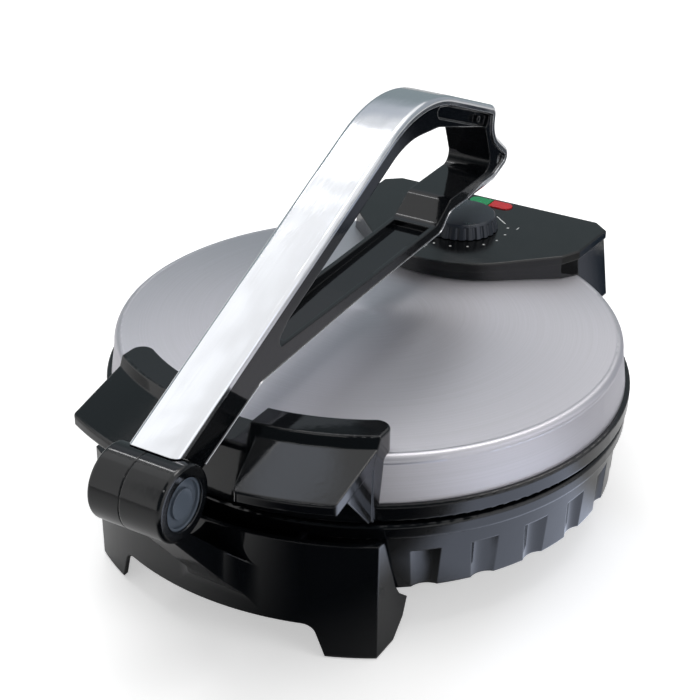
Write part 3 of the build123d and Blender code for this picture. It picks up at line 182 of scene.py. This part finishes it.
def polishedSteel():
    # stainless strip, buffed bright: it mirrors the room, with the slight crown and waves of a bent strip
    material, tree, shader = startMaterial("polishedStainless", {
        "Base Color": linearColour(brightSheet["colour"]), "Metallic": 1.0})
    rough = mottled(tree, brightSheet["grain"], *brightSheet["roughness"], 2.0, brightSheet["grainStretch"])
    tree.links.new(rough, shader.inputs["Roughness"])
    place = addNode(tree, "ShaderNodeTexCoord")
    parts = addNode(tree, "ShaderNodeSeparateXYZ", links={"Vector": place.outputs["Object"]})
    across = addNode(tree, "ShaderNodeMath", {"operation": "DIVIDE", 1: brightSheet["width"] / 2},
                     {0: parts.outputs["X"]})
    dome = addNode(tree, "ShaderNodeMath", {"operation": "MULTIPLY"},
                   {0: across.outputs[0], 1: across.outputs[0]})
    crown = addNode(tree, "ShaderNodeMath", {"operation": "MULTIPLY", 1: -brightSheet["crown"]},
                    {0: dome.outputs[0]})
    ripple = mottled(tree, brightSheet["ripple"], 0, 1, 1.0)
    height = addNode(tree, "ShaderNodeMath", {"operation": "MULTIPLY_ADD", 1: brightSheet["rippleDepth"]},
                     {0: ripple, 2: crown.outputs[0]})
    roundedEdges(tree, shader, brightSheet["edge"], height.outputs[0], 1.0)   # the height is in metres
    return material


bareMetal = dict(smudge=6 * mm, spread=0.06, edge=0.2 * mm)


def metal(name, colour, roughness, grain, depth):
    # bare or plated metal with the grain of how it was made
    material, tree, shader = startMaterial(name, {
        "Base Color": linearColour(colour), "Metallic": 1.0})
    smudged(tree, shader, bareMetal["smudge"], roughness, bareMetal["spread"])
    roundedEdges(tree, shader, bareMetal["edge"], mottled(tree, grain, 0, 1), depth)
    return material


coat = dict(ior=1.5, fleck=1.2 * mm, smudge=8 * mm, spread=0.05, edge=0.3 * mm)


def coated(name, colours, roughness, grain, depth):
    # paint, coat, rubber or plain moulding: two close tones in blotches, and a grain
    material, tree, shader = startMaterial(name, {"IOR": coat["ior"]})
    fleck = mottled(tree, coat["fleck"], 0, 1, 4.0)
    tone = addNode(tree, "ShaderNodeMix", {"data_type": "RGBA", 6: linearColour(colours[0]),
                                           7: linearColour(colours[1])}, {0: fleck})
    tree.links.new(tone.outputs[2], shader.inputs["Base Color"])
    smudged(tree, shader, coat["smudge"], roughness, coat["spread"])
    roundedEdges(tree, shader, coat["edge"], mottled(tree, grain, 0, 1), depth)
    return material


lampLens = dict(ior=1.49, roughness=0.16, clear=0.35, rib=1.6 * mm, ribDepth=0.25 * mm, edge=0.5 * mm)
wavePeriod = 0.314   # metres between the bands of a wave at scale 1


def tintedAcrylic(name, colour):
    # acrylic moulded with fine ribs inside, so that the lamp behind it glows evenly
    material, tree, shader = startMaterial(name, {
        "Base Color": linearColour(colour), "IOR": lampLens["ior"], "Roughness": lampLens["roughness"],
        "Transmission Weight": lampLens["clear"]})
    place = addNode(tree, "ShaderNodeTexCoord")
    rib = addNode(tree, "ShaderNodeTexWave", {
        "bands_direction": "X", "Scale": wavePeriod / lampLens["rib"]}, {"Vector": place.outputs["Object"]})
    roundedEdges(tree, shader, lampLens["edge"], rib.outputs["Fac"], lampLens["ribDepth"])
    return material


materials = {
    "black_gloss": glossBlackAbs(),
    "panel_plastic": satinAbs("satinBlackPanel", "#0a0c0d", 0.2),
    "knob_plastic": satinAbs("satinBlackKnob", "#262c36", 0.3),
    "cap_plastic": satinAbs("satinGreyCap", "#565f6b", 0.14),
    "lid_steel": circularBrushedSteel(),
    "bright_strip": polishedSteel(),
    "fastener_steel": metal("zincPlatedSteel", "#b4b5b6", 0.3, 1.5 * mm, 0.01 * mm),
    "bush_brass": metal("turnedBrass", "#c9a861", 0.28, 0.6 * mm, 0.01 * mm),
    "painted_sheet": coated("blackEnamel", ("#141516", "#1a1b1c"), 0.42, 1.0 * mm, 0.03 * mm),
    "plate_coating": coated("nonStickCoat", ("#1b1b1b", "#2c2b2a"), 0.4, 0.6 * mm, 0.03 * mm),
    "element_sheath": metal("heatTintedSheath", "#6d5f55", 0.45, 1.2 * mm, 0.02 * mm),
    "shield_sheet": metal("aluminisedSheet", "#b3b4b3", 0.4, 2.5 * mm, 0.02 * mm),
    "cast_alloy": metal("castAlloy", "#8f9092", 0.5, 0.8 * mm, 0.05 * mm),
    "white_moulding": coated("heatResistantMoulding", ("#d6d0c2", "#cbc5b6"), 0.55, 0.7 * mm,
                             0.02 * mm),
    "green_lens": tintedAcrylic("greenAcrylic", "#04aa64"),
    "red_lens": tintedAcrylic("redAcrylic", "#ea2830"),
    "black_rubber": coated("blackRubber", ("#161616", "#1c1c1c"), 0.7, 0.4 * mm, 0.03 * mm),
}
print("materials made:", len(materials))

for part in frame["record"]["subparts"]:
    node = frame["nodes"][part["node"]]
    node.data.materials.clear()
    node.data.materials.append(materials[part["material_slot"]])
print("frame dressed:", len(frame["nodes"]), "pieces")


dialMarks = dict(centreX=-1.6, centreY=112.0, ring=30.3, dotRadius=0.75, thickness=0.06, sides=16,
                 firstDot=-92.0, lastDot=26.0, dots=7, line=((12.2, 137.7), (21.6, 130.2)), lineWidth=0.7,
                 digits=(("1", 36.5, 26.0), ("7", 36.5, -96.0)), digitSize=5.5, digitSteps=3)
printInk = dict(colour="#e9ebea", ior=1.5, roughness=(0.4, 0.5), fleck=0.4 * mm)


def deselectAll():
    for other in bpy.context.selected_objects:
        other.select_set(False)


def settle(piece, name, material, body):
    # puts the place into the mesh, gives the finish and hangs the piece on its body
    deselectAll()
    bpy.context.view_layer.objects.active = piece
    piece.select_set(True)
    bpy.ops.object.transform_apply(location=True, rotation=True, scale=True)
    piece.name = name
    piece.data.name = name
    piece.data.materials.clear()
    piece.data.materials.append(material)
    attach(piece, body)


def whiteInk():
    # pad-printed ink, dried matt
    material, tree, shader = startMaterial("whitePrintInk", {
        "Base Color": linearColour(printInk["colour"]), "IOR": printInk["ior"]})
    rough = mottled(tree, printInk["fleck"], *printInk["roughness"])
    tree.links.new(rough, shader.inputs["Roughness"])
    return material


def printedMarks():
    # the dial's dots, stop line and plain numbers, as a film of white ink on the panel
    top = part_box("control_panel")[1].z
    centre = Vector((dialMarks["centreX"] * mm, dialMarks["centreY"] * mm + plateAxis, top))
    thick = dialMarks["thickness"] * mm
    marks = []
    for i in range(dialMarks["dots"]):
        share = i / (dialMarks["dots"] - 1)
        turn = math.radians(dialMarks["firstDot"] + share * (dialMarks["lastDot"] - dialMarks["firstDot"]))
        spot = centre + dialMarks["ring"] * mm * Vector((math.cos(turn), math.sin(turn), 0))
        deselectAll()
        bpy.ops.mesh.primitive_cylinder_add(vertices=dialMarks["sides"], depth=thick, location=spot,
                                            radius=dialMarks["dotRadius"] * mm)
        marks.append(bpy.context.object)
    start, end = (Vector((x * mm, y * mm + plateAxis, top)) for x, y in dialMarks["line"])
    deselectAll()
    bpy.ops.mesh.primitive_cube_add(size=1, location=(start + end) / 2,
                                    rotation=(0, 0, math.atan2(end.y - start.y, end.x - start.x)))
    bpy.context.object.scale = ((end - start).length, dialMarks["lineWidth"] * mm, thick)
    marks.append(bpy.context.object)
    for digit, reach, turn in dialMarks["digits"]:
        turn = math.radians(turn)
        spot = centre + reach * mm * Vector((math.cos(turn), math.sin(turn), 0))
        deselectAll()
        bpy.ops.object.text_add(location=spot, rotation=(0, 0, math.pi))
        figure = bpy.context.object
        figure.data.body = digit
        figure.data.size = dialMarks["digitSize"] * mm
        figure.data.align_x = "CENTER"
        figure.data.align_y = "CENTER"
        figure.data.extrude = thick / 2
        figure.data.resolution_u = dialMarks["digitSteps"]
        bpy.ops.object.convert(target="MESH")
        marks.append(bpy.context.object)
    deselectAll()
    for mark in marks:
        mark.select_set(True)
    bpy.context.view_layer.objects.active = marks[0]
    bpy.ops.object.join()
    settle(bpy.context.object, "dialPrint", whiteInk(), "lid")


printedMarks()
print("dial printed")


table = dict(width=30.0, colour="#f2f2f2", roughness=0.6, ior=1.45, lift=0.47)


def paleTable():
    # a painted table top; the camera sees it a little brighter, which leaves the shadow on it
    material, tree, shader = startMaterial("paleTable", {
        "Base Color": linearColour(table["colour"]), "Roughness": table["roughness"], "IOR": table["ior"],
        "Emission Color": (1, 1, 1, 1)})
    path = addNode(tree, "ShaderNodeLightPath")
    lift = addNode(tree, "ShaderNodeMath", {"operation": "MULTIPLY", 1: table["lift"]},
                   {0: path.outputs["Is Camera Ray"]})
    tree.links.new(lift.outputs[0], shader.inputs["Emission Strength"])
    deselectAll()
    bpy.ops.mesh.primitive_plane_add(size=table["width"], location=(0, 0, 0))
    top = bpy.context.object
    top.name = "table"
    top.data.materials.append(material)


roomLight = dict(fill=0.36, shown=1.0)


def studioRoom():
    # even white walls: a plain fill light, and white behind the part and in what it mirrors
    world = bpy.data.worlds.new("studio")
    bpy.context.scene.world = world
    world.use_nodes = True
    tree = world.node_tree
    tree.nodes.clear()
    path = addNode(tree, "ShaderNodeLightPath")
    seen = addNode(tree, "ShaderNodeMath", {"operation": "MAXIMUM"},
                   {0: path.outputs["Is Camera Ray"], 1: path.outputs["Is Glossy Ray"]})
    shown = addNode(tree, "ShaderNodeMath", {"operation": "MAXIMUM"},
                    {0: seen.outputs[0], 1: path.outputs["Is Transmission Ray"]})
    strength = addNode(tree, "ShaderNodeMapRange", {
        "To Min": roomLight["fill"], "To Max": roomLight["shown"]}, {"Value": shown.outputs[0]})
    light = addNode(tree, "ShaderNodeBackground", {"Color": (1, 1, 1, 1)},
                    {"Strength": strength.outputs[0]})
    addNode(tree, "ShaderNodeOutputWorld", links={"Surface": light.outputs[0]})


# the lamps: place, width and height in metres, power in watts; each faces the part
softBoxes = dict(
    keyBox=dict(place=(-0.75, 0.4, 1.36), size=(1.0, 0.6), power=9.0),
    topBox=dict(place=(0.1, 0.2, 1.9), size=(1.3, 1.1), power=9.0),
    sideBox=dict(place=(1.5, -0.1, 0.7), size=(0.7, 0.9), power=5.0),
)
# painted reflections and painted highlights, which only gloss shows: glowing cards for the bright faces of
# the soft boxes and for thin streaks of light, and dark, grey and tinted flags round the part and on the
# table.
# Metres; soft is the share that fades out, and a level card is turned about the x axis alone.
paintedReflectionCards = dict(
    keyFace=dict(place=(-0.98, 0.0, 1.25), size=(0.62, 0.7), colour="#fdfeff", strength=1.28, soft=0.45),
    tabFace=dict(place=(-0.55, 0.42, 1.7), size=(0.4, 0.34), colour="#eef4ff", strength=1.8, soft=0.6),
    stripLight=dict(place=(-0.357, 0.184, 0.736), size=(0.5, 0.045), colour="#ffffff", strength=10.0,
                    soft=0.5, level=True),
    topFace=dict(place=(0.35, 0.6, 1.8), size=(0.8, 0.8), colour="#fffdfb", strength=6.5, soft=0.5),
    edgeLight=dict(place=(0.06, -0.82, 1.02), size=(0.5, 0.09), colour="#ffffff", strength=9.0, soft=0.5),
    rightFace=dict(place=(1.0, 0.0, 0.3), size=(0.9, 0.5), colour="#eef0fa", strength=1.6, soft=0.3),
    backWall=dict(place=(-1.0, 2.0, 0.75), size=(3.6, 2.0), colour="#8b979b", strength=1.0, soft=0.3),
    backRightWall=dict(place=(1.15, 1.9, 0.75), size=(2.6, 2.0), colour="#a0a6ac", strength=1.0, soft=0.3),
    backUpper=dict(place=(-0.9, 1.0, 1.3), size=(2.1, 1.1), colour="#bcc2ca", strength=1.0, soft=0.95),
    leftWall=dict(place=(-1.5, 0.5, 0.95), size=(1.6, 1.5), colour="#8b979b", strength=1.0, soft=0.35),
    frontFlag=dict(place=(0.3, -1.5, 0.9), size=(3.0, 2.0), colour="#454c50", strength=1.0, soft=0.25),
    overheadFlag=dict(place=(-0.1, -1.0, 1.7), size=(2.0, 1.3), colour="#4c5054", strength=1.0, soft=0.35),
    floorFlag=dict(place=(0.125, -0.24, 0.002), size=(0.32, 0.36), colour="#050607", strength=1.0, soft=0.6),
    floorGlow=dict(place=(0.21, -0.02, 0.0025), size=(0.2, 0.22), colour="#dde6fb", strength=2.1, soft=0.4),
    blueFlag=dict(place=(0.22, 0.375, 0.002), size=(0.26, 0.2), colour="#22394f", strength=1.0, soft=0.4),
    behindFlag=dict(place=(0.27, 0.6, 0.003), size=(0.34, 0.3), colour="#20262e", strength=1.0, soft=0.4),
    slateFace=dict(place=(0.19, 0.3, 0.06), size=(0.08, 0.11), colour="#a4a9b6", strength=1.0, soft=0.5),
    warmFlag=dict(place=(0.42, 0.2, 0.002), size=(0.34, 0.26), colour="#5f5c5c", strength=1.0, soft=0.5),
)
halfCard = 0.5   # from a card's middle to its edge, on its own coordinates
tableTop = 0.01   # a card below this height lies flat on the table


def paintedReflectionFinish(name, card):
    # painted reflection: light of one colour that fades out towards the card's edge
    material = bpy.data.materials.new(name)
    material.use_nodes = True
    tree = material.node_tree
    tree.nodes.clear()
    place = addNode(tree, "ShaderNodeTexCoord")
    away = addNode(tree, "ShaderNodeVectorMath", {"operation": "ABSOLUTE"}, {0: place.outputs["Object"]})
    parts = addNode(tree, "ShaderNodeSeparateXYZ", links={"Vector": away.outputs[0]})
    edge = addNode(tree, "ShaderNodeMath", {"operation": "MAXIMUM"},
                   {0: parts.outputs["X"], 1: parts.outputs["Y"]})
    fade = addNode(tree, "ShaderNodeMapRange", {
        "interpolation_type": "SMOOTHSTEP", "To Min": 1.0, "To Max": 0.0,
        "From Min": halfCard * (1 - card["soft"]), "From Max": halfCard}, {"Value": edge.outputs[0]})
    glow = addNode(tree, "ShaderNodeEmission", {
        "Color": linearColour(card["colour"]), "Strength": card["strength"]})
    clear = addNode(tree, "ShaderNodeBsdfTransparent")
    mixed = addNode(tree, "ShaderNodeMixShader",
                    links={0: fade.outputs[0], 1: clear.outputs[0], 2: glow.outputs[0]})
    addNode(tree, "ShaderNodeOutputMaterial", links={"Surface": mixed.outputs[0]})
    return material


def faceThePart(thing, place, level=False):
    # turns its front towards the part, unless it lies on the table
    thing.location = place
    x, y, z = place
    if z > tableTop:
        thing.rotation_euler = Vector((0 if level else x, y, z)).to_track_quat("Z", "Y").to_euler()


def lampsAndPaintedReflections():
    for name, box in softBoxes.items():
        deselectAll()
        bpy.ops.object.light_add(type="AREA")
        lamp = bpy.context.object
        lamp.name = name
        lamp.data.shape = "RECTANGLE"
        lamp.data.size, lamp.data.size_y = box["size"]
        lamp.data.energy = box["power"]
        lamp.visible_glossy = False
        faceThePart(lamp, box["place"])
    for name, card in paintedReflectionCards.items():
        deselectAll()
        bpy.ops.mesh.primitive_plane_add(size=1)
        face = bpy.context.object
        face.name = name
        face.scale = (*card["size"], 1)
        faceThePart(face, card["place"], card.get("level", False))
        face.data.materials.append(paintedReflectionFinish(name, card))
        # painted reflection: the card glows only in what the part mirrors, and no camera, diffuse or shadow
        # ray sees it
        for ray in ("camera", "diffuse", "transmission", "volume_scatter", "shadow"):
            setattr(face, "visible_" + ray, False)


# degrees, metres from the plates' axis, and the lens in millimetres
cameraView = dict(azimuth=30.34, elevation=28.01, roll=0.71, place=(0.37247, -0.65422, 0.49920),
                  lens=77.52, sensor=36.0, shift=(-0.0040, -0.0242), near=0.01, far=100)


def standingCamera():
    azimuth, elevation, roll = (math.radians(cameraView[turn]) for turn in ("azimuth", "elevation", "roll"))
    back = Vector((math.sin(azimuth) * math.cos(elevation), -math.cos(azimuth) * math.cos(elevation),
                   math.sin(elevation)))
    right = Vector((math.cos(azimuth), math.sin(azimuth), 0))
    up = back.cross(right)
    across = right * math.cos(roll) + up * math.sin(roll)
    upward = up * math.cos(roll) - right * math.sin(roll)
    x, y, z = cameraView["place"]
    turned = Matrix((across, upward, back)).transposed().to_4x4()
    deselectAll()
    bpy.ops.object.camera_add()
    camera = bpy.context.object
    camera.name = "standingCamera"
    camera.matrix_world = Matrix.Translation((x, y + plateAxis, z)) @ turned
    camera.data.sensor_fit = "HORIZONTAL"
    camera.data.sensor_width = cameraView["sensor"]
    camera.data.lens = cameraView["lens"]
    camera.data.shift_x, camera.data.shift_y = cameraView["shift"]
    camera.data.clip_start = cameraView["near"]
    camera.data.clip_end = cameraView["far"]
    bpy.context.scene.camera = camera


paleTable()
studioRoom()
lampsAndPaintedReflections()
standingCamera()
bpy.context.scene.view_settings.view_transform = "Standard"
print("stage set")
